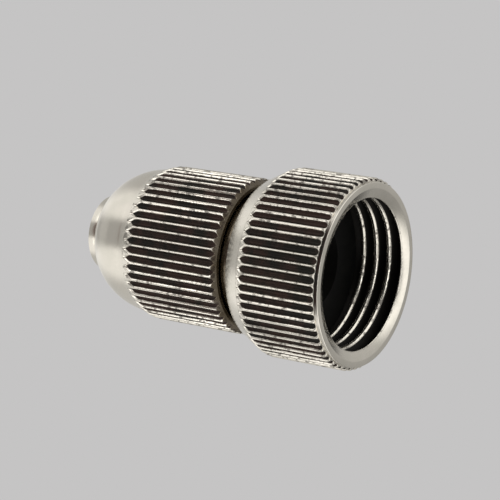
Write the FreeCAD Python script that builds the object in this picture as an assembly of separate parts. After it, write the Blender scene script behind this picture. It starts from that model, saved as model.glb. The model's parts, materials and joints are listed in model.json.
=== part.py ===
import FreeCAD
import Part
import math
import os

# A small metal hose connector with a twist barrel, in millimetres.
# The axis is Z. The coupling's open face lies at height 0, and the barrel's nose points up.
# The barrel is drawn closed: screwed down to its stop, with the stem's tip just inside its mouth.
# The screw threads are left plain: the hose thread at its crests, the barrel's at its pitch radius.

# Knurl, the same straight one on both outside faces
KNURL_PITCH = 1.155
KNURL_DEPTH = 0.44
KNURL_ANGLE = 95.0

# Coupling, the end that screws on to a 1/2 inch pipe thread
COUPLING_RADIUS = 11.75
COUPLING_LENGTH = 13.7
COLLAR_RADIUS = 11.25
COLLAR_LENGTH = 0.45
BACK_BEVEL_HEIGHT = 3.2
BACK_FACE_RADIUS = 10.05
LIP_INNER_RADIUS = 10.5
ENTRY_DEPTH = 0.5
HOSE_THREAD_RADIUS = 9.32
HOSE_THREAD_LENGTH = 6.5
RECESS_UNDERCUT = 0.4
PASSAGE_RADIUS = 4.0

# Flat washer that the hose thread closes on
WASHER_THICKNESS = 2.0
WASHER_HOLE_RADIUS = 5.2
WASHER_CLEARANCE = 0.2

# Neck of the coupling, which carries the barrel
NECK_RADIUS = 8.5
NECK_COVER = 3.2
NECK_THREAD_RADIUS = 7.4
NECK_THREAD_LENGTH = 5.8
SPIGOT_RADIUS = 6.4
SPIGOT_LEAD = 0.8

# Barrel
BARREL_RADIUS = 9.75
BARREL_BODY_LENGTH = 12.8
BARREL_GAP = 1.8
BARREL_TRAVEL = 3.0
REAR_CHAMFER = 0.6
NOSE_STEP_LENGTH = 1.65
NOSE_BASE_RADIUS = 9.15
NOSE_CENTRE_DROP = 0.56
MOUTH_RADIUS = 4.9
MOUTH_LENGTH = 1.12
MOUTH_CHAMFER = 0.25
ORIFICE_RADIUS = 2.75

# Stem, screwed into the neck
STEM_SHANK_LENGTH = 5.0
STEM_FLANGE_RADIUS = 5.0
STEM_FLANGE_THICKNESS = 0.9
STEM_SHAFT_RADIUS = 3.0
STEM_BORE_RADIUS = 2.1
STEM_PORT_RADIUS = 0.8
STEM_PORTS = 4
STEM_HEAD_DEPTH = 4.56
STEM_HEAD_RADIUS = 3.9
STEM_HEAD_THICKNESS = 0.6
STEM_NOSE_RADIUS = 3.5
STEM_TAPER_HEIGHT = 0.9
TIP_RADIUS = 2.35
TIP_RECESS = 0.4
TIP_CHAMFER = 0.3

# Square rubber rings: one seals the barrel on the spigot, one closes the barrel's seat on the stem
SPIGOT_RING_SECTION = 1.4
SEAT_RING_SECTION = 1.5
SEAT_RING_BEVEL = 0.6
GLAND_WALL = 0.5
GLAND_SIDE_PLAY = 0.1

# Clearances
NECK_CLEARANCE = 0.15
THREAD_CLEARANCE = 0.12
SPIGOT_CLEARANCE = 0.12
STEP_CLEARANCE = 0.3
RING_CLEARANCE = 0.05
SEAT_CLEARANCE = 0.08
SHANK_CLEARANCE = 0.03
CUT_OVERRUN = 1.0

# Heights along the coupling
thread_end = ENTRY_DEPTH + HOSE_THREAD_LENGTH
recess_end = thread_end + WASHER_THICKNESS
neck_end = COUPLING_LENGTH + BARREL_GAP + NECK_COVER
neck_thread_end = neck_end + NECK_THREAD_LENGTH

# Heights along the barrel
barrel_start = COUPLING_LENGTH + BARREL_GAP
nose_start = barrel_start + BARREL_BODY_LENGTH
dome_start = nose_start + NOSE_STEP_LENGTH
dome_centre = dome_start - NOSE_CENTRE_DROP
dome_radius = math.hypot(NOSE_BASE_RADIUS, NOSE_CENTRE_DROP)
dome_end = dome_centre + math.sqrt(dome_radius**2 - MOUTH_RADIUS**2)
barrel_end = dome_end + MOUTH_LENGTH
rear_bore_end = neck_end + STEP_CLEARANCE
barrel_thread_end = neck_thread_end + STEP_CLEARANCE
gland_start = barrel_thread_end + GLAND_WALL
gland_end = gland_start + SPIGOT_RING_SECTION + 2 * GLAND_SIDE_PLAY
spigot_ring_start = gland_start + GLAND_SIDE_PLAY
spigot_ring_end = spigot_ring_start + SPIGOT_RING_SECTION
spigot_ring_inner = SPIGOT_RADIUS + RING_CLEARANCE
spigot_ring_outer = spigot_ring_inner + SPIGOT_RING_SECTION

# Heights along the spigot and the stem. The stem's head lies at its depth below the barrel's nose.
spigot_end = spigot_ring_end + BARREL_TRAVEL + SPIGOT_LEAD
shaft_start = spigot_end + STEM_FLANGE_THICKNESS
head_start = barrel_end - STEM_HEAD_DEPTH
groove_start = head_start + STEM_HEAD_THICKNESS
groove_end = groove_start + SEAT_RING_SECTION + 2 * GLAND_SIDE_PLAY
taper_end = groove_end + STEM_TAPER_HEIGHT
tip_end = barrel_end - TIP_RECESS
seat_ring_start = groove_start + GLAND_SIDE_PLAY
seat_ring_end = seat_ring_start + SEAT_RING_SECTION
seat_ring_outer = STEM_SHAFT_RADIUS + SEAT_RING_SECTION
seat_groove_radius = STEM_SHAFT_RADIUS - RING_CLEARANCE

AXIS = FreeCAD.Vector(0, 0, 1)


class Outline:
    """Half section of a turned piece, drawn as (radius, height) points and spun about the axis."""

    def __init__(self, radius, height):
        self.first = FreeCAD.Vector(radius, 0, height)
        self.last = self.first
        self.edges = []

    def line(self, radius, height):
        point = FreeCAD.Vector(radius, 0, height)
        self.edges.append(Part.LineSegment(self.last, point).toShape())
        self.last = point
        return self

    def dome(self, centre_height, radius, height):
        """Arc to a point, round a centre that lies on the axis."""
        centre = FreeCAD.Vector(0, 0, centre_height)
        point = FreeCAD.Vector(radius, 0, height)
        halfway = (self.last + point) * 0.5 - centre
        middle = centre + halfway.normalize() * (point - centre).Length
        self.edges.append(Part.Arc(self.last, middle, point).toShape())
        self.last = point
        return self

    def spin(self):
        self.line(self.first.x, self.first.z)
        section = Part.Face(Part.Wire(self.edges))
        return section.revolve(FreeCAD.Vector(0, 0, 0), AXIS, 360)


def knurled(blank, radius, low, high):
    """The blank with straight V grooves round its outside. Its cones and bevels end the grooves."""
    count = round(2 * math.pi * radius / KNURL_PITCH)
    reach = KNURL_DEPTH + CUT_OVERRUN
    half_width = reach * math.tan(math.radians(KNURL_ANGLE / 2))
    root = radius - KNURL_DEPTH
    corners = [
        FreeCAD.Vector(root, 0, low),
        FreeCAD.Vector(root + reach, -half_width, low),
        FreeCAD.Vector(root + reach, half_width, low),
    ]
    groove = Part.Face(Part.makePolygon(corners + corners[:1])).extrude(AXIS * (high - low))
    grooves = []
    for index in range(count):
        copy = groove.copy()
        copy.rotate(FreeCAD.Vector(0, 0, 0), AXIS, (index + 0.5) * 360 / count)
        grooves.append(copy)
    return blank.cut(Part.makeCompound(grooves))


def coupling_body():
    """Knurled coupling, neck, barrel thread and spigot, turned in one piece and bored through."""
    recess = HOSE_THREAD_RADIUS + RECESS_UNDERCUT
    outline = Outline(LIP_INNER_RADIUS, 0)
    outline.line(COLLAR_RADIUS, 0).line(COLLAR_RADIUS, COLLAR_LENGTH)
    outline.line(COUPLING_RADIUS, COLLAR_LENGTH)
    outline.line(COUPLING_RADIUS, COUPLING_LENGTH - BACK_BEVEL_HEIGHT)
    outline.line(BACK_FACE_RADIUS, COUPLING_LENGTH).line(NECK_RADIUS, COUPLING_LENGTH)
    outline.line(NECK_RADIUS, neck_end).line(NECK_THREAD_RADIUS, neck_end)
    outline.line(NECK_THREAD_RADIUS, neck_thread_end).line(SPIGOT_RADIUS, neck_thread_end)
    outline.line(SPIGOT_RADIUS, spigot_end).line(PASSAGE_RADIUS, spigot_end)
    outline.line(PASSAGE_RADIUS, recess_end).line(recess, recess_end)
    outline.line(recess, thread_end).line(HOSE_THREAD_RADIUS, thread_end)
    outline.line(HOSE_THREAD_RADIUS, ENTRY_DEPTH)
    return knurled(outline.spin(), COUPLING_RADIUS, -CUT_OVERRUN, COUPLING_LENGTH + CUT_OVERRUN)


def hose_washer():
    """Flat rubber washer, seated on the floor of the recess behind the hose thread."""
    outer = HOSE_THREAD_RADIUS + RECESS_UNDERCUT - WASHER_CLEARANCE
    floor = recess_end - WASHER_THICKNESS + WASHER_CLEARANCE
    outline = Outline(WASHER_HOLE_RADIUS, floor).line(outer, floor)
    return outline.line(outer, recess_end).line(WASHER_HOLE_RADIUS, recess_end).spin()


def stem():
    """Hollow stem with side ports, a grooved head for the seat ring, and the tip."""
    shank = PASSAGE_RADIUS - SHANK_CLEARANCE
    shank_start = spigot_end - STEM_SHANK_LENGTH
    outline = Outline(STEM_BORE_RADIUS, shank_start)
    outline.line(shank, shank_start).line(shank, spigot_end)
    outline.line(STEM_FLANGE_RADIUS, spigot_end).line(STEM_FLANGE_RADIUS, shaft_start)
    outline.line(STEM_SHAFT_RADIUS, shaft_start).line(STEM_SHAFT_RADIUS, head_start)
    outline.line(STEM_HEAD_RADIUS, head_start).line(STEM_HEAD_RADIUS, groove_start)
    outline.line(seat_groove_radius, groove_start).line(seat_groove_radius, groove_end)
    outline.line(STEM_NOSE_RADIUS, groove_end).line(TIP_RADIUS, taper_end)
    outline.line(TIP_RADIUS, tip_end - TIP_CHAMFER).line(TIP_RADIUS - TIP_CHAMFER, tip_end)
    outline.line(0, tip_end).line(0, head_start).line(STEM_BORE_RADIUS, head_start)
    turned = outline.spin()
    port_height = (shaft_start + head_start) / 2
    ports = []
    for index in range(STEM_PORTS):
        port = Part.makeCylinder(
            STEM_PORT_RADIUS,
            STEM_SHAFT_RADIUS + CUT_OVERRUN,
            FreeCAD.Vector(0, 0, port_height),
            FreeCAD.Vector(1, 0, 0),
        )
        port.rotate(FreeCAD.Vector(0, 0, 0), AXIS, index * 360 / STEM_PORTS)
        ports.append(port)
    return turned.cut(Part.makeCompound(ports))


def seat_ring():
    """Rubber ring in the groove of the stem's head, bevelled where the barrel's cone meets it."""
    outline = Outline(STEM_SHAFT_RADIUS, seat_ring_start).line(seat_ring_outer, seat_ring_start)
    outline.line(seat_ring_outer, seat_ring_end - SEAT_RING_BEVEL)
    outline.line(seat_ring_outer - SEAT_RING_BEVEL, seat_ring_end)
    return outline.line(STEM_SHAFT_RADIUS, seat_ring_end).spin()


def spigot_ring():
    """Rubber ring in the barrel's gland, running on the spigot."""
    outline = Outline(spigot_ring_inner, spigot_ring_start).line(spigot_ring_outer, spigot_ring_start)
    return outline.line(spigot_ring_outer, spigot_ring_end).line(spigot_ring_inner, spigot_ring_end).spin()


def barrel():
    """Knurled barrel with a domed nose and a short mouth. Its inner cone closes on the seat ring."""
    rear_bore = NECK_RADIUS + NECK_CLEARANCE
    thread_bore = NECK_THREAD_RADIUS + THREAD_CLEARANCE
    spigot_bore = SPIGOT_RADIUS + SPIGOT_CLEARANCE
    gland = spigot_ring_outer + RING_CLEARANCE
    # On the seat's 45 degree cone, just clear of the seat ring's bevel, radius and height add up
    # to one number.
    cone_sum = seat_ring_outer + seat_ring_end - SEAT_RING_BEVEL + math.sqrt(2) * SEAT_CLEARANCE
    outline = Outline(rear_bore, barrel_start)
    outline.line(BARREL_RADIUS - REAR_CHAMFER, barrel_start)
    outline.line(BARREL_RADIUS, barrel_start + REAR_CHAMFER).line(BARREL_RADIUS, nose_start)
    outline.line(NOSE_BASE_RADIUS, dome_start).dome(dome_centre, MOUTH_RADIUS, dome_end)
    outline.line(MOUTH_RADIUS, barrel_end - MOUTH_CHAMFER)
    outline.line(MOUTH_RADIUS - MOUTH_CHAMFER, barrel_end).line(ORIFICE_RADIUS, barrel_end)
    outline.line(ORIFICE_RADIUS, cone_sum - ORIFICE_RADIUS).line(spigot_bore, cone_sum - spigot_bore)
    outline.line(spigot_bore, gland_end).line(gland, gland_end)
    outline.line(gland, gland_start).line(spigot_bore, gland_start)
    outline.line(spigot_bore, barrel_thread_end).line(thread_bore, barrel_thread_end)
    outline.line(thread_bore, rear_bore_end).line(rear_bore, rear_bore_end)
    return knurled(outline.spin(), BARREL_RADIUS, barrel_start - CUT_OVERRUN, barrel_end)


PIECES = [coupling_body, hose_washer, stem, seat_ring, spigot_ring, barrel]


def main():
    os.makedirs("parts", exist_ok=True)
    for make in PIECES:
        make().exportStep(f"parts/{make.__name__}.step")


main()
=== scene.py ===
"""Looks of a small knurled hose connector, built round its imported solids.

The connector stands on its coupling's open face at height 0 and its axis is +Z. Its pieces are
drawn in millimetres and scaled to metres as they are finished. Sizes are in millimetres where
nothing else is said.
"""

import json
import logging
import math
from collections.abc import Callable, Iterable, Mapping, Sequence
from dataclasses import dataclass, field
from enum import Enum
from typing import NamedTuple

import bmesh
import bpy
from mathutils import Matrix, Vector


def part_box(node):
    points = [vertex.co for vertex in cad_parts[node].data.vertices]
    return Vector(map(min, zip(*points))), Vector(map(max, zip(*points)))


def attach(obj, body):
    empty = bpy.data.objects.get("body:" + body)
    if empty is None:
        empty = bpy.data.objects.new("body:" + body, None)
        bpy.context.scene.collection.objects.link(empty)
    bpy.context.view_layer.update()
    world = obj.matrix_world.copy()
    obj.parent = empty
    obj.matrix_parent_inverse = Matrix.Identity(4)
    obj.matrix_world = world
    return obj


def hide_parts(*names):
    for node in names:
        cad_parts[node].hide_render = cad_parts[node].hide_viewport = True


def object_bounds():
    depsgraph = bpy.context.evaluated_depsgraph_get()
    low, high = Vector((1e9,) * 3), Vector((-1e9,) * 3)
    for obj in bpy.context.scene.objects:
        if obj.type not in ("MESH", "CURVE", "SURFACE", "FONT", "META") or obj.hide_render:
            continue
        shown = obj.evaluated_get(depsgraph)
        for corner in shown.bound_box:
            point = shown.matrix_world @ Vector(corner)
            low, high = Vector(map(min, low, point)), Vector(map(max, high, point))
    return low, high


MM = 0.001
AXIS = (0.0, 0.0, 1.0)
CENTRE = (0.0, 0.0, 0.0)
TURN = 2 * math.pi
SHARP_ANGLE = math.radians(80)
WELD = 1e-5
SLACK = 0.01
ROUNDING_STEPS = 4
FLOOR_COLUMNS = 96
BUMP_HEIGHT = 0.02 * MM

Colour = tuple[float, float, float]
Point = tuple[float, float, float]
Span = tuple[float, float]

log = logging.getLogger("hose_connector")
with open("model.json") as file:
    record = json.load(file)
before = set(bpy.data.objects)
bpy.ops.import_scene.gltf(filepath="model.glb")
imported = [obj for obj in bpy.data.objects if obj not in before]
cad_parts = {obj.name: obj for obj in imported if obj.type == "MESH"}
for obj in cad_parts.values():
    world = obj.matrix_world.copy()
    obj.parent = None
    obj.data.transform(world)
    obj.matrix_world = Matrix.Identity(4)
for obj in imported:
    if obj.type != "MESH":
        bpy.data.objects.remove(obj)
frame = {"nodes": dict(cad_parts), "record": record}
cad_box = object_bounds()


# Shader arithmetic


class Value:
    """A number or colour socket of a shader that takes part in Python arithmetic."""

    def __init__(self, shader: "Shader", socket: bpy.types.NodeSocket) -> None:
        """Keep the socket and the shader that it belongs to."""
        self.shader = shader
        self.socket = socket

    def maths(self, operation: str, *others: "Operand") -> "Value":
        """Return this value and the others put through one Math node.

        Args:
            operation: Name of the Math node's operation.
            *others: Its second and third value.

        Returns:
            The node's result.
        """
        inputs = dict(enumerate((self, *others)))
        return self.shader.node("ShaderNodeMath", {"operation": operation}, inputs)

    def __add__(self, other: "Operand") -> "Value":
        """Return the sum."""
        return self.maths("ADD", other)

    __radd__ = __add__

    def __mul__(self, other: "Operand") -> "Value":
        """Return the product."""
        return self.maths("MULTIPLY", other)

    __rmul__ = __mul__

    def __sub__(self, other: "Operand") -> "Value":
        """Return the difference."""
        return self.maths("SUBTRACT", other)

    def __rsub__(self, other: float) -> "Value":
        """Return a plain number less this value."""
        return self.maths("MULTIPLY_ADD", -1.0, other)

    def __truediv__(self, other: "Operand") -> "Value":
        """Return the quotient."""
        return self.maths("DIVIDE", other)

    def least(self, other: "Operand") -> "Value":
        """Return the smaller of the two."""
        return self.maths("MINIMUM", other)

    def most(self, other: "Operand") -> "Value":
        """Return the larger of the two."""
        return self.maths("MAXIMUM", other)

    def root(self) -> "Value":
        """Return the square root."""
        return self.maths("SQRT")

    def size(self) -> "Value":
        """Return the value without its sign."""
        return self.maths("ABSOLUTE")

    def step(self, low: float, high: float) -> "Value":
        """Return a smooth step from 0 at low to 1 at high.

        Args:
            low: Where the step starts.
            high: Where the step ends. It may be below low, and the step then falls.

        Returns:
            The step, from 0 to 1.
        """
        settings = {"interpolation_type": "SMOOTHSTEP"}
        rising = high > low
        ends = (low, high) if rising else (high, low)
        targets = (0.0, 1.0) if rising else (1.0, 0.0)
        inputs = dict(enumerate((self, *ends, *targets)))
        return self.shader.node("ShaderNodeMapRange", settings, inputs)


Operand = Value | float
Input = Value | float | Sequence[float]


class Shader:
    """The node tree of one material or of the world, filled through a single method."""

    def __init__(self, owner: bpy.types.ID) -> None:
        """Empty the owner's node tree.

        Args:
            owner: A material or a world.
        """
        owner.use_nodes = True
        self.tree = owner.node_tree
        self.tree.nodes.clear()

    def node(
        self,
        kind: str,
        settings: Mapping[str, object] | None = None,
        inputs: Mapping[str | int, Input] | None = None,
        output: str | int = 0,
    ) -> Value:
        """Add a node, set it, and feed its sockets.

        Args:
            kind: The node's type.
            settings: The node's own properties.
            inputs: A value or a link for each named or numbered input socket.
            output: The output socket that is returned.

        Returns:
            The chosen output.
        """
        made = self.tree.nodes.new(kind)
        for key, setting in (settings or {}).items():
            setattr(made, key, setting)
        for key, given in (inputs or {}).items():
            if isinstance(given, Value):
                self.tree.links.new(given.socket, made.inputs[key])
            else:
                made.inputs[key].default_value = given
        return Value(self, made.outputs[output]) if len(made.outputs) else Value(self, None)

    def place(self) -> tuple[Value, Value, Value, Value]:
        """Return the object coordinates and their X, Y and Z in millimetres."""
        whole = self.node("ShaderNodeTexCoord", output="Object")
        inputs = {0: whole, "Scale": 1 / MM}
        scaled = self.node("ShaderNodeVectorMath", {"operation": "SCALE"}, inputs)
        return (scaled, *self.parts(scaled))

    def parts(self, vector: Value) -> tuple[Value, Value, Value]:
        """Return the vector's X, Y and Z."""
        kind = "ShaderNodeSeparateXYZ"
        return tuple(self.node(kind, inputs={0: vector}, output=name) for name in "XYZ")

    def noise(self, where: Value, grain: float, detail: float = 3.0) -> Value:
        """Return a cloudy noise from 0 to 1.

        Args:
            where: The point, in millimetres.
            grain: Size of a cloud in millimetres.
            detail: How many finer layers it has.

        Returns:
            The noise.
        """
        inputs = {"Vector": where, "Scale": 1 / grain, "Detail": detail}
        return self.node("ShaderNodeTexNoise", inputs=inputs)

    def blend(self, share: Operand, first: Input, second: Input) -> Value:
        """Return a colour mixed from two.

        Args:
            share: 0 for the first colour, 1 for the second.
            first: The first colour.
            second: The second colour.

        Returns:
            The mixed colour.
        """
        inputs = {"Factor": share, 6: first, 7: second}
        return self.node("ShaderNodeMix", {"data_type": "RGBA"}, inputs, output=2)

    def skin(self, inputs: Mapping[str, Input], relief: Value, strength: float) -> None:
        """Finish a material as one surface with fine bumps.

        Args:
            inputs: The Principled node's values.
            relief: Height of the bumps.
            strength: How strongly they show.
        """
        bumps = {"Strength": strength, "Distance": BUMP_HEIGHT, "Height": relief}
        normal = self.node("ShaderNodeBump", inputs=bumps)
        surface = self.node("ShaderNodeBsdfPrincipled", inputs={**inputs, "Normal": normal})
        self.node("ShaderNodeOutputMaterial", inputs={"Surface": surface})


def solid(colour: Colour) -> tuple[float, float, float, float]:
    """Return the colour with full alpha, as a socket wants it."""
    return (*colour, 1.0)


# Finishes


class Slot(Enum):
    """The record's material slots."""

    COUPLING_PLATE = "coupling_plate"
    BARREL_PLATE = "barrel_plate"
    STEM_PLATE = "stem_plate"
    WASHER_RUBBER = "washer_rubber"
    RING_RUBBER = "ring_rubber"


class Body(Enum):
    """The bodies that a new piece may ride on."""

    COUPLING = "coupling"
    BARREL = "barrel"


@dataclass(frozen=True)
class Knurl:
    """A straight knurl: grooves along the axis, all round a cylinder.

    Attributes:
        radius: Radius over the crests.
        low: Height where the full crests start.
        high: Height where the full crests end.
        low_slope: Height lost at the low end for each millimetre of depth, 0 at a flat step.
        high_slope: Height gained at the high end for each millimetre of depth.
        pitch: Rough distance from crest to crest, which sets the number of grooves.
        depth: Depth of the grooves.
        land: Width of a crest.
        fullness: How flat a groove's floor is and how steep its sides, 2 for a parabola.
        crowding: How far the columns crowd towards the crests, from 0 to 1.
        low_ease: Rounding of the crests at a flat low end.
        guard: How far the rows at either end reach.
        support: How far a row that keeps the shading smooth stands off an edge.
        blur: Width over which the edges of the painted groove shade fade in a shader.
    """

    radius: float
    low: float
    high: float
    low_slope: float
    high_slope: float
    pitch: float = 1.155
    depth: float = 0.44
    land: float = 0.09
    fullness: float = 2.4
    crowding: float = 0.5
    low_ease: float = 0.44
    guard: float = 0.2
    support: float = 0.06
    blur: float = 0.02

    @property
    def count(self) -> int:
        """Return the number of grooves."""
        return round(TURN * self.radius / self.pitch)

    def drop(self, turn: float, fullness: float) -> float:
        """Return how far the surface lies below the crests.

        Args:
            turn: Angle round the axis, in radians. A crest lies at 0.
            fullness: Shape of the groove, 1 for a plain V.

        Returns:
            The drop in millimetres.
        """
        share = turn * self.count / TURN % 1.0
        spacing = TURN * self.radius / self.count
        across = abs(share - 0.5) * spacing / (spacing / 2 - self.land / 2)
        return max(0.0, self.depth * (1 - across**fullness))

    def rows(self) -> tuple[float, float]:
        """Return the heights of the two rows that keep the grooves' sides straight."""
        inset = 1.5 * self.guard
        first = inset if self.low_slope else self.low_ease + self.support
        return self.low + first, self.high - inset

    def beyond(self) -> "Corner":
        """Return the row just beyond the grooves' high ends, which keeps the cone smooth there."""
        deep = self.depth + self.support
        return Corner(self.radius - deep, self.high + self.high_slope * deep)

    def press(self, mesh: bmesh.types.BMesh) -> None:
        """Press the grooves into the blank's rows, column by column.

        Args:
            mesh: A turned blank with rows at the knurl's ends and at the heights that rows gives.
        """
        root = self.radius - self.depth
        bottom = self.low - (self.guard if self.low_slope else SLACK)
        for vert in mesh.verts:
            reach = math.hypot(vert.co.x, vert.co.y)
            turn = math.atan2(vert.co.y, vert.co.x)
            turn -= self.crowding * math.sin(turn * self.count) / self.count
            height = vert.co.z
            if reach > root and bottom <= height <= self.high + self.guard:
                point = self.drop(turn, 1.0)
                if height > self.high - self.guard:
                    reach -= point
                    height += self.high_slope * point
                elif self.low_slope and height < self.low + self.guard:
                    reach -= point
                    height -= self.low_slope * point
                else:
                    reach = min(reach, self.radius - self.drop(turn, self.fullness))
            vert.co = Vector((reach * math.cos(turn), reach * math.sin(turn), height))

    def depth_at(self, reach: Value, height: Value) -> Value:
        """Return how deep a point of the surface lies in a groove, for a shader.

        Args:
            reach: The point's distance from the axis.
            height: The point's height.

        Returns:
            The depth in millimetres, 0 or less outside the knurl.
        """
        outline = self.radius - (height - self.high) / self.high_slope
        outline = outline.least(self.radius)
        if self.low_slope:
            outline = outline.least(self.radius - (self.low - height) / self.low_slope)
        else:
            dip = (self.low + self.low_ease - height).most(0.0)
            outline = outline - self.low_ease + (self.low_ease**2 - dip * dip).most(0.0).root()
        # What lies a little further in than the grooves is the wall of a bore.
        wall = self.radius - self.depth - self.guard
        outside = reach.step(wall - 0.1, wall)
        return (outline - reach) * outside * self.band(height)

    def band(self, height: Value) -> Value:
        """Return 1 between the grooves' two ends and 0 beyond them, for a shader."""
        low = self.low - self.low_slope * self.depth
        high = self.high + self.high_slope * self.depth
        return height.step(low - self.blur, low) * height.step(high + self.blur, high)


@dataclass(frozen=True)
class NickelPlate:
    """Bright, slightly warm nickel plate on turned brass, with painted shade in its grooves, bore
    and gaps.

    Attributes:
        name: Name of the material.
        colour: Colour of clean plate.
        roughness: Roughness of clean plate.
        knurl: The knurl whose grooves get painted shade, or None on a plain piece.
        bore_radius: Radius of the crests in a threaded bore, beyond which shade is painted dark,
            or 0.
        bore_end: Height below which that holds.
        gap_shade_low: Height above which shade is painted dark olive brown, in the gap at the
            neck.
        gap_shade_high: Height below which it is, or 0 on a piece without that painted shade.
        groove_shade: Painted shade colour deep in a groove.
        darker_groove_shade: Darker painted shade colour deep in a groove, in random patches.
        gap_shade: Colour of the painted shade in the gap at the neck.
        black: Colour of the painted shade deep in the threaded bore.
        shaded_roughness: Roughness deep in a groove.
        patch_size: Size of the patches where the painted groove shade is darker.
        cloud_size: Size of the faint clouds on the plate.
        fleck_size: Size of the dull flecks on the crests.
        speck_size: Size of the specks that fray every edge.
        groove_shade_depth: Depth in a groove, from bare plate to full painted shade.
        darker_patch_edge: Noise, from the lighter painted groove shade to the darker.
        fleck_edge: Noise, from clean crest to fleck.
        fleck_share: How far a fleck darkens towards the groove colour.
        collar_reach: Distance from the axis, from a collar's face to its side.
        collar_side: Distance towards +X, from the collar's unshaded side to the side where shade
            is painted.
        collar_low: Height, from the collar's bare edge to its painted shade.
        bore_shade_depth: Depth behind the bore's crests, from bare plate to full painted shade.
        bore_shade_low: Height, from the bore's bare edge to its painted shade.
        metal_loss: How much less metallic the painted shade and the flecks are.
    """

    name: str
    colour: Colour = (0.80, 0.765, 0.70)
    roughness: float = 0.17
    knurl: Knurl | None = None
    bore_radius: float = 0.0
    bore_end: float = 0.0
    gap_shade_low: float = 0.0
    gap_shade_high: float = 0.0
    groove_shade: Colour = (0.034, 0.017, 0.013)
    darker_groove_shade: Colour = (0.009, 0.008, 0.006)
    gap_shade: Colour = (0.085, 0.062, 0.034)
    black: Colour = (0.007, 0.006, 0.005)
    shaded_roughness: float = 0.5
    patch_size: float = 3.5
    cloud_size: float = 2.4
    fleck_size: float = 0.7
    speck_size: float = 0.35
    groove_shade_depth: Span = (0.13, 0.23)
    darker_patch_edge: Span = (0.40, 0.62)
    fleck_edge: Span = (0.52, 0.68)
    fleck_share: float = 0.6
    collar_reach: Span = (10.9, 11.1)
    collar_side: Span = (9.2, 10.6)
    collar_low: Span = (0.03, 0.09)
    bore_shade_depth: Span = (0.20, 0.30)
    bore_shade_low: Span = (0.56, 0.66)
    metal_loss: float = 0.35

    def make(self) -> bpy.types.Material:
        """Return the material."""
        material = bpy.data.materials.new(self.name)
        shader = Shader(material)
        where, x, y, z = shader.place()
        reach = (x * x + y * y).root()
        clouds = shader.noise(where, self.cloud_size)
        specks = shader.noise(where, self.speck_size, detail=4.0)
        flecks = shader.noise(where, self.fleck_size, detail=2.0)
        patches = shader.noise(where, self.patch_size)
        # Painted shade: the bore's deep parts get a dark colour where shade falls.
        bore_shade_share = self._bore_shade(reach, z, specks)
        shade_and_flecks = self._shade_and_flecks(x, reach, z, clouds, specks, flecks).most(bore_shade_share)
        tone = shader.blend(clouds.step(0.3, 0.7), solid(self.colour), solid(self._dulled()))
        # Painted shade, dark olive brown, in the gap between the coupling's back and the barrel.
        tone = shader.blend(self._gap_shade(z, clouds), tone, solid(self.gap_shade))
        darker_patches = (patches * 0.75 + specks * 0.25).step(*self.darker_patch_edge)
        # Painted shade for the grooves, darker in random patches, with the bore's painted shade
        # over it.
        groove_shade = shader.blend(darker_patches, solid(self.groove_shade), solid(self.darker_groove_shade))
        groove_shade = shader.blend(bore_shade_share, groove_shade, solid(self.black))
        colour = shader.blend(shade_and_flecks, tone, groove_shade)
        roughness = (
            self.roughness
            + (clouds - 0.5) * 0.08
            + (specks - 0.5) * 0.10
            + shade_and_flecks * (self.shaded_roughness - self.roughness)
        )
        relief = specks * 0.6 + clouds * 0.8
        if self.knurl:
            relief = relief + self.knurl.band(z) * specks * 2.4
        metallic = 1.0 - shade_and_flecks * self.metal_loss
        inputs = {"Base Color": colour, "Metallic": metallic, "Roughness": roughness}
        shader.skin(inputs, relief, strength=0.35)
        return material

    def _dulled(self) -> Colour:
        """Return the plate's colour a little greyer."""
        red, green, blue = self.colour
        return (red * 0.93, green * 0.94, blue * 0.93)

    def _shade_and_flecks(
        self, x: Value, reach: Value, height: Value, clouds: Value, specks: Value, flecks: Value
    ) -> Value:
        """Return the share of painted shade in the grooves and on one side of a collar, with
        flecks.

        Args:
            x: Distance towards the side of the collar where shade is painted.
            reach: Distance from the axis.
            height: Height.
            clouds: Coarse noise.
            specks: Fine noise.
            flecks: Noise of the dull flecks on the crests.

        Returns:
            The share, from 0 to 1.
        """
        if not self.knurl:
            return clouds * 0.0
        depth = self.knurl.depth_at(reach, height)
        ragged = (specks - 0.5) * 0.12 + (clouds - 0.5) * 0.16
        dull = flecks.step(*self.fleck_edge) * self.knurl.band(height) * self.fleck_share
        # Painted shade deep in the grooves, joined with random dull flecks on the crests.
        shade_and_flecks = (depth + ragged).step(*self.groove_shade_depth).most(dull)
        if self.knurl.low_slope:
            return shade_and_flecks
        low, blur = self.knurl.low, self.knurl.blur
        # Painted shade in the collar's step, on its +X side only.
        collar = height.step(low + 2 * blur, low - blur) * height.step(*self.collar_low)
        return shade_and_flecks.most(collar * reach.step(*self.collar_reach) * x.step(*self.collar_side))

    def _gap_shade(self, height: Value, clouds: Value) -> Value:
        """Return the share of painted shade between two heights, in the gap at the neck.

        Args:
            height: Height.
            clouds: Coarse noise.

        Returns:
            The share, from 0 to 1.
        """
        if not self.gap_shade_high:
            return clouds * 0.0
        low = height.step(self.gap_shade_low, self.gap_shade_low + 0.1)
        high = height.step(self.gap_shade_high, self.gap_shade_high - 0.1)
        return low * high * (0.75 + clouds * 0.3)

    def _bore_shade(self, reach: Value, height: Value, specks: Value) -> Value:
        """Return the share of painted shade between the crests of the threaded bore.

        Args:
            reach: Distance from the axis.
            height: Height.
            specks: Fine noise.

        Returns:
            The share, from 0 to 1.
        """
        if not self.bore_radius:
            return specks * 0.0
        # Painted shade: the deeper behind the crests, the darker the bore's wall.
        inside = reach.step(self.bore_radius + 1.3, self.bore_radius + 1.2)
        deep = (reach - self.bore_radius + (specks - 0.5) * 0.04).step(*self.bore_shade_depth)
        before_end = height.step(self.bore_end + 0.1, self.bore_end)
        return inside * deep * before_end * height.step(*self.bore_shade_low)


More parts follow.
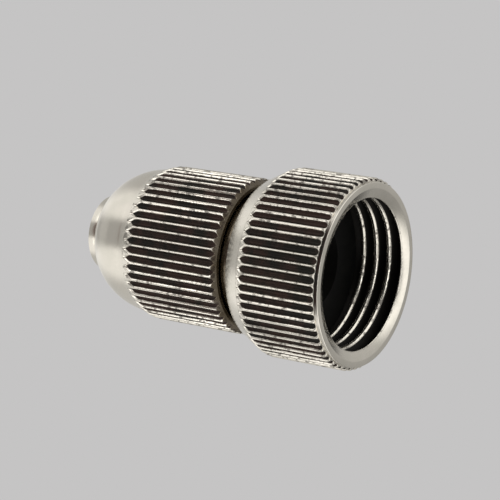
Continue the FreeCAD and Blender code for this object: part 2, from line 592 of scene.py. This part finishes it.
@dataclass(frozen=True)
class BlackRubber:
    """Black moulded rubber with a faint bloom.

    Attributes:
        name: Name of the material.
        colour: Colour of clean rubber.
        bloom: Colour of the bloom.
        sheen: Specular level of the matt skin.
        cloud_size: Size of the clouds of bloom.
        grain_size: Size of the skin's grain.
    """

    name: str
    colour: Colour = (0.003, 0.003, 0.003)
    bloom: Colour = (0.007, 0.007, 0.006)
    sheen: float = 0.15
    cloud_size: float = 1.5
    grain_size: float = 0.12

    def make(self) -> bpy.types.Material:
        """Return the material."""
        material = bpy.data.materials.new(self.name)
        shader = Shader(material)
        where, _, _, _ = shader.place()
        clouds = shader.noise(where, self.cloud_size)
        grain = shader.noise(where, self.grain_size)
        colour = shader.blend(clouds.step(0.45, 0.8), solid(self.colour), solid(self.bloom))
        roughness = 0.55 + clouds * 0.2
        inputs = {"Base Color": colour, "Specular IOR Level": self.sheen, "Roughness": roughness}
        shader.skin(inputs, grain, strength=0.4)
        return material


# Turned meshes


class Corner(NamedTuple):
    """A corner of a half section.

    Attributes:
        radius: Distance from the axis.
        height: Height.
        ease: How far the corner's rounding reaches along both sides, or 0 for a crisp corner.
    """

    radius: float
    height: float
    ease: float = 0.0


def arc(centre: float, radius: float, first: float, last: float, steps: int) -> list[Corner]:
    """Return corners along a dome whose centre lies on the axis.

    Args:
        centre: Height of the dome's centre.
        radius: Radius of the dome.
        first: Distance from the axis where it starts.
        last: Distance from the axis where it ends.
        steps: Number of stretches.

    Returns:
        The corners between the two ends, without the ends.
    """
    start, end = (math.acos(reach / radius) for reach in (first, last))
    angles = [start + (end - start) * step / steps for step in range(1, steps)]
    return [Corner(radius * math.cos(a), centre + radius * math.sin(a)) for a in angles]


def spin_round(mesh: bmesh.types.BMesh, columns: int) -> None:
    """Spin all of a mesh once round the axis and weld its seam.

    Args:
        mesh: The mesh.
        columns: Number of columns round the axis.
    """
    bmesh.ops.spin(
        mesh,
        geom=mesh.verts[:] + mesh.edges[:],
        cent=CENTRE,
        axis=AXIS,
        dvec=CENTRE,
        angle=TURN,
        steps=columns,
        use_merge=True,
    )
    bmesh.ops.remove_doubles(mesh, verts=mesh.verts[:], dist=WELD)


def turned(corners: Sequence[Corner], columns: int) -> bmesh.types.BMesh:
    """Return a mesh turned from a closed half section.

    Args:
        corners: The half section, whose last corner joins the first.
        columns: Number of columns round the axis.

    Returns:
        The turned mesh, in millimetres.
    """
    mesh = bmesh.new()
    verts = [mesh.verts.new((corner.radius, 0.0, corner.height)) for corner in corners]
    for pair in zip(verts, verts[1:] + verts[:1]):
        mesh.edges.new(pair)
    for vert, corner in zip(verts, corners):
        if corner.ease:
            bmesh.ops.bevel(
                mesh,
                geom=[vert],
                offset=corner.ease,
                offset_type="OFFSET",
                segments=ROUNDING_STEPS,
                profile=0.5,
                affect="VERTICES",
                clamp_overlap=True,
                material=-1,
            )
    spin_round(mesh, columns)
    bmesh.ops.recalc_face_normals(mesh, faces=mesh.faces[:])
    return mesh


def linked(name: str, data: bpy.types.ID) -> bpy.types.Object:
    """Return a new object with the data, linked to the scene."""
    made = bpy.data.objects.new(name, data)
    bpy.context.scene.collection.objects.link(made)
    return made


def finished(name: str, mesh: bmesh.types.BMesh, body: Body) -> bpy.types.Object:
    """Turn a bmesh into a piece of the connector.

    Args:
        name: Name of the piece.
        mesh: Its mesh in millimetres, which is freed.
        body: The body that it rides on.

    Returns:
        The piece.
    """
    bmesh.ops.scale(mesh, vec=(MM, MM, MM), verts=mesh.verts[:])
    for face in mesh.faces:
        face.smooth = True
    data = bpy.data.meshes.new(name)
    mesh.to_mesh(data)
    mesh.free()
    data.set_sharp_from_angle(angle=SHARP_ANGLE)
    piece = linked(name, data)
    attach(piece, body.value)
    log.info("%s: %d faces on %s", name, len(data.polygons), body.value)
    return piece


# Sub-assemblies


@dataclass
class Coupling:
    """The knurled coupling with its neck, hose thread, washer, stem and seat ring.

    Attributes:
        collar_radius: Radius of the plain collar at the open face.
        collar_length: Length of that collar.
        lip_radius: Inner radius of the flat lip.
        length: Height of the coupling's back face.
        bevel_height: Height of the back bevel.
        back_radius: Outer radius of the back face.
        neck_radius: Radius of the neck.
        neck_end: Height where the neck ends.
        thread_radius: Radius of the barrel's screw thread.
        thread_end: Height where that thread ends.
        spigot_radius: Radius of the spigot.
        passage_radius: Radius of the water passage.
        recess_radius: Radius of the washer's recess.
        recess_end: Height of the recess's floor.
        root_radius: Radius at the roots of the hose thread.
        pitch: Pitch of the hose thread.
        first_crest: Height of the hose thread's first crest at angle 0.
        crest_round: Rounding of the hose thread's crest.
        base_share: Half the width of the thread ridge's base, as a share of the pitch.
        sink: How deep that base lies in the metal.
        thread_stop: How far the ridge stops short of the bore's end.
        thread_steps: Stretches of the ridge in one turn.
        bore_land: Length of the bore before its flank falls to the roots.
        bore_flank: Length of that flank.
        fine_ease: Rounding of the bore's two edges.
        lip_ease: Rounding of the lip's inner edge.
        rim_ease: Rounding of the collar's edge.
        edge_ease: Rounding of the knurl's high edge and the neck's foot.
        end_ease: Rounding of the back face, the neck and the screw thread.
        spigot_ease: Rounding of the spigot's end.
        columns: Columns round the axis for each groove of the knurl.
    """

    collar_radius: float = 11.25
    collar_length: float = 0.45
    lip_radius: float = 10.5
    length: float = 13.7
    bevel_height: float = 3.2
    back_radius: float = 10.05
    neck_radius: float = 8.5
    neck_end: float = 18.7
    thread_radius: float = 7.4
    thread_end: float = 24.5
    spigot_radius: float = 6.4
    passage_radius: float = 4.0
    recess_radius: float = 9.72
    recess_end: float = 9.0
    root_radius: float = 10.45
    pitch: float = 1.814
    first_crest: float = 1.593
    crest_round: float = 0.30
    base_share: float = 0.44
    sink: float = 0.05
    thread_stop: float = 0.35
    thread_steps: int = 180
    bore_land: float = 0.12
    bore_flank: float = 0.55
    fine_ease: float = 0.04
    lip_ease: float = 0.05
    rim_ease: float = 0.08
    edge_ease: float = 0.10
    end_ease: float = 0.15
    spigot_ease: float = 0.2
    columns: int = 12
    radius: float = field(init=False)
    spigot_end: float = field(init=False)
    bore_radius: float = field(init=False)
    bore_low: float = field(init=False)
    bore_high: float = field(init=False)

    def __post_init__(self) -> None:
        """Read the sizes that the frame gives."""
        _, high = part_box("coupling_body")
        self.radius = high.x / MM
        self.spigot_end = high.z / MM
        mount = next(m for m in frame["record"]["mounts"] if m["name"] == "hose_thread")
        half = mount["dims"]["length_mm"] / 2
        middle = mount["pos_m"][2] / MM
        self.bore_radius = mount["dims"]["r_mm"]
        self.bore_low = middle - half
        self.bore_high = middle + half

    @property
    def knurl(self) -> Knurl:
        """Return the knurl of the coupling."""
        return Knurl(
            radius=self.radius,
            low=self.collar_length,
            high=self.length - self.bevel_height,
            low_slope=0.0,
            high_slope=self.bevel_height / (self.radius - self.back_radius),
        )

    def build(self) -> None:
        """Build the coupling's pieces and dress them."""
        # The plate paints shade deep in the bore, and in the gap from the back face to the neck's
        # end.
        plate = NickelPlate(
            "coupling_nickel",
            knurl=self.knurl,
            bore_radius=self.bore_radius,
            bore_end=self.recess_end,
            gap_shade_low=self.length,
            gap_shade_high=self.neck_end,
        )
        body = finished("coupling_turned", self._body(), Body.COUPLING)
        body.data.materials.append(plate.make())
        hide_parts("coupling_body")
        dress("hose_washer", BlackRubber("washer_rubber_black"))
        dress("seat_ring", BlackRubber("seat_ring_rubber"))
        stem_plate = NickelPlate("stem_nickel", colour=(0.83, 0.80, 0.74), roughness=0.12)
        dress("stem", stem_plate)

    def _body(self) -> bmesh.types.BMesh:
        """Return the mesh of the turned coupling with its hose thread."""
        knurl = self.knurl
        mesh = turned(self._section(), self.columns * knurl.count)
        knurl.press(mesh)
        self._add_thread(mesh)
        return mesh

    def _section(self) -> list[Corner]:
        """Return the half section, from the lip outwards and back through the bore."""
        knurl = self.knurl
        land_end = self.bore_low + self.bore_land
        return [
            Corner(self.lip_radius, 0.0, self.lip_ease),
            Corner(self.collar_radius, 0.0, self.rim_ease),
            Corner(self.collar_radius, self.collar_length),
            Corner(self.radius, self.collar_length, knurl.low_ease),
            *(Corner(self.radius, height) for height in knurl.rows()),
            Corner(self.radius, knurl.high, self.edge_ease),
            knurl.beyond(),
            Corner(self.back_radius, self.length, self.end_ease),
            Corner(self.neck_radius, self.length, self.edge_ease),
            Corner(self.neck_radius, self.neck_end, self.end_ease),
            Corner(self.thread_radius, self.neck_end),
            Corner(self.thread_radius, self.thread_end, self.end_ease),
            Corner(self.spigot_radius, self.thread_end),
            Corner(self.spigot_radius, self.spigot_end, self.spigot_ease),
            Corner(self.passage_radius, self.spigot_end),
            Corner(self.passage_radius, self.recess_end, self.edge_ease),
            Corner(self.recess_radius, self.recess_end),
            Corner(self.recess_radius, self.bore_high),
            Corner(self.root_radius, self.bore_high - self.bore_flank),
            Corner(self.root_radius, land_end + self.bore_flank),
            Corner(self.bore_radius, land_end, self.fine_ease),
            Corner(self.bore_radius, self.bore_low, self.fine_ease),
        ]

    def _add_thread(self, mesh: bmesh.types.BMesh) -> None:
        """Add the hose thread's ridge, a right-handed helix whose ends lie in the metal.

        Args:
            mesh: The coupling's mesh, in millimetres.
        """
        base = self.root_radius + self.sink
        half_base = self.base_share * self.pitch
        start = self.bore_low + half_base + self.sink
        end = self.bore_high - self.thread_stop
        crest = self.crest_round
        ridge = bmesh.new()
        rounding = [math.radians(angle) for angle in range(-60, 61, 20)]
        section = [
            (base, -half_base),
            *(
                (self.bore_radius + crest * (1 - math.cos(angle)), crest * math.sin(angle))
                for angle in rounding
            ),
            (base, half_base),
        ]
        verts = [ridge.verts.new((reach, 0.0, start + height)) for reach, height in section]
        for pair in zip(verts, verts[1:] + verts[:1]):
            ridge.edges.new(pair)
        first_turn = (start - self.first_crest) / self.pitch * TURN
        turn = (end - start) / self.pitch * TURN
        steps = round(turn / TURN * self.thread_steps)
        ridge.faces.new(verts)
        bmesh.ops.rotate(
            ridge, verts=ridge.verts[:], cent=CENTRE, matrix=Matrix.Rotation(first_turn, 3, "Z")
        )
        bmesh.ops.spin(
            ridge,
            geom=ridge.verts[:] + ridge.edges[:] + ridge.faces[:],
            cent=CENTRE,
            axis=AXIS,
            dvec=(0.0, 0.0, (end - start) / steps),
            angle=turn,
            steps=steps,
        )
        bmesh.ops.recalc_face_normals(ridge, faces=ridge.faces[:])
        data = bpy.data.meshes.new("thread_ridge")
        ridge.to_mesh(data)
        ridge.free()
        mesh.from_mesh(data)
        bpy.data.meshes.remove(data)


@dataclass
class Barrel:
    """The knurled barrel with its domed nose, and the ring that travels in it.

    Attributes:
        rear_radius: Outer radius of the rear face, inside its chamfer.
        body_length: Length of the barrel up to its nose.
        step_length: Length of the cone where the knurl runs out.
        nose_radius: Radius at the dome's base.
        centre_drop: How far the dome's centre lies below its base.
        mouth_radius: Radius of the short mouth on the dome.
        mouth_draft: How much narrower the mouth is at its end.
        mouth_round: Rounding of the mouth's outer edge.
        orifice_radius: Radius of the hole in the nose.
        cone_sum: Radius and height of the inner cone's points, added up.
        spigot_bore: Radius of the bore round the spigot.
        gland_radius: Radius of the ring's gland.
        gland_low: Height where the gland starts.
        gland_high: Height where the gland ends.
        thread_bore: Radius of the bore for the screw thread.
        thread_end: Height where that bore ends.
        rear_bore: Radius of the bore round the neck.
        rear_bore_end: Height where that bore ends.
        face_ease: Rounding of the rear face's outer edge and the knurl's low edge.
        bore_ease: Rounding of the rear face's inner edge.
        edge_ease: Rounding of the knurl's high edge.
        orifice_ease: Rounding of the hole's edge.
        columns: Columns round the axis for each groove of the knurl.
        dome_steps: Number of stretches along the dome.
    """

    rear_radius: float = 9.15
    body_length: float = 12.8
    step_length: float = 1.65
    nose_radius: float = 9.15
    centre_drop: float = 0.56
    mouth_radius: float = 4.9
    mouth_draft: float = 0.09
    mouth_round: float = 0.14
    orifice_radius: float = 2.75
    cone_sum: float = 39.910
    spigot_bore: float = 6.52
    gland_radius: float = 7.9
    gland_low: float = 25.3
    gland_high: float = 26.9
    thread_bore: float = 7.52
    thread_end: float = 24.8
    rear_bore: float = 8.65
    rear_bore_end: float = 19.0
    face_ease: float = 0.06
    bore_ease: float = 0.08
    edge_ease: float = 0.10
    orifice_ease: float = 0.15
    columns: int = 12
    dome_steps: int = 20
    radius: float = field(init=False)
    start: float = field(init=False)
    end: float = field(init=False)

    def __post_init__(self) -> None:
        """Read the sizes that the frame gives."""
        low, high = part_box("barrel")
        self.radius = high.x / MM
        self.start = low.z / MM
        self.end = high.z / MM

    @property
    def knurl(self) -> Knurl:
        """Return the knurl of the barrel."""
        return Knurl(
            radius=self.radius,
            low=self.start + self.radius - self.rear_radius,
            high=self.start + self.body_length,
            low_slope=1.0,
            high_slope=self.step_length / (self.radius - self.nose_radius),
        )

    def build(self) -> None:
        """Build the barrel and dress it and its ring."""
        mesh = turned(self._section(), self.columns * self.knurl.count)
        self.knurl.press(mesh)
        body = finished("barrel_turned", mesh, Body.BARREL)
        # The plate paints shade on the rear face and its chamfer, in the gap at the neck.
        plate = NickelPlate("barrel_nickel", knurl=self.knurl, gap_shade_high=self.knurl.low)
        body.data.materials.append(plate.make())
        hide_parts("barrel")
        dress("spigot_ring", BlackRubber("spigot_ring_rubber"))

    def _section(self) -> list[Corner]:
        """Return the half section, from the rear face outwards and back through the bore."""
        knurl = self.knurl
        dome_low = knurl.high + self.step_length
        centre = dome_low - self.centre_drop
        dome_radius = math.hypot(self.nose_radius, self.centre_drop)
        dome_high = centre + math.sqrt(dome_radius**2 - self.mouth_radius**2)
        dome = arc(centre, dome_radius, self.nose_radius, self.mouth_radius, self.dome_steps)
        # The rows before and after the foot of the mouth keep its shading off the dome.
        mouth_foot = [
            Corner(self.mouth_radius + 0.03, dome_high - 0.02),
            Corner(self.mouth_radius, dome_high),
            Corner(self.mouth_radius, dome_high + 0.04),
        ]
        return [
            Corner(self.rear_bore, self.start, self.bore_ease),
            Corner(self.rear_radius, self.start, self.face_ease),
            Corner(self.radius, knurl.low, self.face_ease),
            *(Corner(self.radius, height) for height in knurl.rows()),
            Corner(self.radius, knurl.high, self.edge_ease),
            knurl.beyond(),
            Corner(self.nose_radius, dome_low),
            *dome,
            *mouth_foot,
            Corner(self.mouth_radius - self.mouth_draft, self.end, self.mouth_round),
            Corner(self.orifice_radius, self.end, self.orifice_ease),
            Corner(self.orifice_radius, self.cone_sum - self.orifice_radius),
            Corner(self.spigot_bore, self.cone_sum - self.spigot_bore),
            Corner(self.spigot_bore, self.gland_high),
            Corner(self.gland_radius, self.gland_high),
            Corner(self.gland_radius, self.gland_low),
            Corner(self.spigot_bore, self.gland_low),
            Corner(self.spigot_bore, self.thread_end),
            Corner(self.thread_bore, self.thread_end),
            Corner(self.thread_bore, self.rear_bore_end),
            Corner(self.rear_bore, self.rear_bore_end),
        ]


def dress(node: str, finish: NickelPlate | BlackRubber) -> None:
    """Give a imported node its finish.

    Args:
        node: Name of the node.
        finish: The finish.
    """
    piece = frame["nodes"][node]
    piece.data.materials.clear()
    piece.data.materials.append(finish.make())
    log.info("%s: dressed as %s", node, finish.name)


# Studio


@dataclass(frozen=True)
class Softbox:
    """A soft rectangular lamp that faces the connector.

    Attributes:
        name: Name of the lamp.
        azimuth: Direction round the axis from +X towards +Y, in degrees.
        elevation: Direction above the floor, in degrees.
        width: Width in metres.
        height: Height in metres.
        radiance: Brightness of its face, 1 for white.
        tint: Its colour.
        distance: Distance from the connector in metres.
    """

    name: str
    azimuth: float
    elevation: float
    width: float
    height: float
    radiance: float
    tint: Colour = (1.0, 0.985, 0.96)
    distance: float = 0.8

    def place(self, target: Vector) -> bpy.types.Object:
        """Put up the lamp.

        Args:
            target: The point that it faces.

        Returns:
            The lamp.
        """
        turn, tilt = math.radians(self.azimuth), math.radians(self.elevation)
        away = Vector(
            (math.cos(turn) * math.cos(tilt), math.sin(turn) * math.cos(tilt), math.sin(tilt))
        )
        data = bpy.data.lights.new(self.name, "AREA")
        data.shape = "RECTANGLE"
        data.size, data.size_y = self.width, self.height
        # An area lamp's face shines with its power over four times its area.
        data.energy = 4 * self.width * self.height * self.radiance
        data.color = self.tint
        lamp = linked(self.name, data)
        lamp.location = target + away * self.distance
        lamp.rotation_mode = "QUATERNION"
        lamp.rotation_quaternion = away.to_track_quat("Z", "Y")
        lamp.visible_camera = False
        return lamp


@dataclass(frozen=True)
class Sky:
    """Soft surroundings that the plate mirrors, as tones over the directions X, Y and Z.

    A tone is a brightness, 1 for white. Both sides are bright, a darker band runs over the
    connector's axis, and what lies below shows in the open bore.

    Attributes:
        side: The two bright sides.
        side_fall: What they lose far across the axis.
        side_lean: What the +Y side loses to the other.
        level_loss: What the sides lose low in front, less on the +Y side.
        glow: What the sides gain just above that.
        band: The band over the axis.
        ahead_loss: What the band loses in front.
        level_gain: What it gets back low in front.
        behind_gain: What it gains behind.
        crown_gain: What it gains straight above.
        rear: The part low behind.
        rear_lean: What its +Y side gains.
        ground: The bright ground below.
        hollow: The dark patch of the ground under the axis.
        patch: What a faint light adds to it.
        patch_lean: What the light's +Y side gains.
        streak: What the light's narrow core adds.
        spot_loss: Share of the light that a dark spot behind takes.
        light: Colour of the light.
        brown: Colour of the band in front.
    """

    side: float = 0.96
    side_fall: float = 0.42
    side_lean: float = 0.06
    level_loss: float = 0.35
    glow: float = 0.9
    band: float = 0.42
    ahead_loss: float = 0.34
    level_gain: float = 0.55
    behind_gain: float = 0.34
    crown_gain: float = 0.10
    rear: float = 0.42
    rear_lean: float = 0.25
    ground: float = 1.30
    hollow: float = 0.06
    patch: float = 0.30
    patch_lean: float = 0.5
    streak: float = 2.2
    spot_loss: float = 0.9
    light: Colour = (1.0, 0.98, 0.94)
    brown: Colour = (1.0, 0.68, 0.58)

    def paint(self, shader: Shader, x: Value, y: Value, z: Value) -> tuple[Value, Value]:
        """Return the sky's colour and strength.

        Args:
            shader: The world's shader.
            x: The direction's X.
            y: The direction's Y.
            z: The direction's Z.

        Returns:
            The colour and the strength.
        """
        aside = y.size()
        fall = (aside - x * 0.75).step(0.50, 0.80)
        level = z.step(0.60, 0.54)
        front = x.step(0.46, 0.58)
        low_front = level * front * (1.0 - y) * self.level_loss
        glow = z.step(0.70, 0.64) * (1.0 - level) * front * aside.step(0.28, 0.38) * self.glow
        sides = self.side - fall * self.side_fall - y * self.side_lean - low_front + glow

        ahead = x.step(0.62, 0.76)
        front_loss = ahead * (self.ahead_loss - level * self.level_gain)
        behind = x.step(-0.40, -0.60) * self.behind_gain
        crown = z.step(0.96, 0.99) * self.crown_gain
        band = self.band - front_loss + behind + crown

        beside = (aside - x * 0.17).step(0.11, 0.26)
        rear = x.step(-0.30, -0.60)
        rear_tone = self.rear + y * self.rear_lean
        upper = band + (sides - band) * beside
        upper = upper + (rear_tone - upper) * rear * z.step(0.35, 0.05)

        under = (x - 0.22).size().step(0.22, 0.10)
        core = (y + 0.10).size().step(0.30, 0.12)
        middle = self.hollow + under * (self.patch + y * self.patch_lean + core * self.streak)
        inner = x.step(-0.22, -0.08) * aside.step(0.52, 0.40)
        lower = self.ground + (middle - self.ground) * inner
        lower = lower + (rear_tone - lower) * rear

        above = z.step(-0.02, 0.02)
        spot = aside.step(0.32, 0.12) * z.size().step(0.30, 0.10) * x.step(-0.50, -0.70)
        strength = (lower + (upper - lower) * above) * (1.0 - spot * self.spot_loss)
        brown = ahead * above * (1.0 - beside) * (1.0 - level)
        return shader.blend(brown, solid(self.light), solid(self.brown)), strength


@dataclass
class Studio:
    """Pale floor, soft lamps, sky and plain backdrop.

    Attributes:
        backdrop: Colour of the backdrop.
        floor: Colour of the floor.
        floor_radius: Radius of the floor in metres.
        foot_radius: Radius in millimetres of the patch that lets light up into the connector.
        floor_gap: How far the floor lies under the connector, in millimetres.
        sky: The soft surroundings.
        boxes: The lamps.
    """

    backdrop: Colour = (0.558, 0.552, 0.552)
    floor: Colour = (0.80, 0.79, 0.78)
    floor_radius: float = 4.0
    foot_radius: float = 12.4
    floor_gap: float = 0.05
    sky: Sky = Sky()
    boxes: Sequence[Softbox] = (
        Softbox("box_left", 42, 30, 0.40, 0.30, 0.60),
        Softbox("box_right", -42, 30, 0.40, 0.30, 0.60),
    )

    def build(self) -> None:
        """Build the floor, the lamps and the world."""
        middle = (cad_box[0] + cad_box[1]) / 2
        for box in self.boxes:
            box.place(middle)
        self._floor_part("floor", self.foot_radius * MM, self.floor_radius)
        foot = self._floor_part("floor_under_connector", 0.0, self.foot_radius * MM)
        foot.visible_diffuse = False
        foot.visible_glossy = False
        foot.visible_transmission = False
        foot.visible_shadow = False
        self._world()

    def _floor_part(self, name: str, inner: float, outer: float) -> bpy.types.Object:
        """Build a ring or disc of floor that only shows from above.

        Args:
            name: Name of the object.
            inner: Inner radius in metres, 0 for a disc.
            outer: Outer radius in metres.

        Returns:
            The floor.
        """
        mesh = bmesh.new()
        height = -self.floor_gap * MM
        mesh.edges.new([mesh.verts.new((reach, 0.0, height)) for reach in (inner, outer)])
        spin_round(mesh, FLOOR_COLUMNS)
        for face in mesh.faces:
            if face.normal.z < 0:
                face.normal_flip()
        data = bpy.data.meshes.new(name)
        mesh.to_mesh(data)
        mesh.free()
        floor = linked(name, data)
        floor.data.materials.append(self._floor_material(name))
        return floor

    def _floor_material(self, name: str) -> bpy.types.Material:
        """Return a pale matt floor that is clear to the camera from below."""
        material = bpy.data.materials.new(name)
        shader = Shader(material)
        backface = shader.node("ShaderNodeNewGeometry", output="Backfacing")
        camera = shader.node("ShaderNodeLightPath", output="Is Camera Ray")
        matt = shader.node("ShaderNodeBsdfDiffuse", inputs={"Color": solid(self.floor)})
        clear = shader.node("ShaderNodeBsdfTransparent")
        inputs = {0: backface * camera, 1: matt, 2: clear}
        surface = shader.node("ShaderNodeMixShader", inputs=inputs)
        shader.node("ShaderNodeOutputMaterial", inputs={"Surface": surface})
        return material

    def _world(self) -> None:
        """Light the scene with the sky, and show the plain backdrop to the camera."""
        world = bpy.data.worlds.new("studio_world")
        bpy.context.scene.world = world
        shader = Shader(world)
        direction = shader.node("ShaderNodeTexCoord", output="Generated")
        colour, strength = self.sky.paint(shader, *shader.parts(direction))
        soft = shader.node("ShaderNodeBackground", inputs={"Color": colour, "Strength": strength})
        plain = shader.node(
            "ShaderNodeBackground", inputs={"Color": solid(self.backdrop), "Strength": 1.0}
        )
        camera = shader.node("ShaderNodeLightPath", output="Is Camera Ray")
        surface = shader.node("ShaderNodeMixShader", inputs={0: camera, 1: soft, 2: plain})
        shader.node("ShaderNodeOutputWorld", inputs={"Surface": surface})


@dataclass(frozen=True)
class PhotoCamera:
    """The camera at the photograph's viewing angle.

    Attributes:
        place: Where it stands, in millimetres.
        aim: The point that it looks at, in millimetres.
        roll: Turn about its own line of sight, in degrees.
        lens: Focal length on the sensor below.
        sensor: Width of the sensor.
        nearest: Where its view starts, in metres.
        farthest: Where its view ends, in metres.
    """

    place: Point = (230.265, 0.0, -128.612)
    aim: Point = (0.0, 0.70, 16.87)
    roll: float = 9.56
    lens: float = 158.4
    sensor: float = 36.0
    nearest: float = 0.01
    farthest: float = 20.0

    def build(self) -> bpy.types.Object:
        """Put up the camera and make it the scene's own."""
        data = bpy.data.cameras.new("photo_camera")
        data.lens = self.lens
        data.sensor_width = self.sensor
        data.clip_start, data.clip_end = self.nearest, self.farthest
        camera = linked("photo_camera", data)
        place, aim = Vector(self.place) * MM, Vector(self.aim) * MM
        forward = (aim - place).normalized()
        side = forward.cross(Vector((0.0, 1.0, 0.0))).normalized()
        side.rotate(Matrix.Rotation(math.radians(-self.roll), 3, forward))
        upward = side.cross(forward)
        turn = Matrix((side, upward, -forward)).transposed()
        camera.matrix_world = Matrix.Translation(place) @ turn.to_4x4()
        bpy.context.scene.camera = camera
        return camera


def main() -> None:
    """Build the camera, the connector and the studio."""
    logging.basicConfig(level=logging.INFO, format="%(name)s: %(message)s")
    PhotoCamera().build()
    sub_assemblies: Sequence[Callable[[], None]] = (Coupling().build, Barrel().build)
    for build in sub_assemblies:
        build()
    Studio().build()
    bpy.context.scene.view_settings.view_transform = "Standard"


if __name__ == "__main__":
    main()
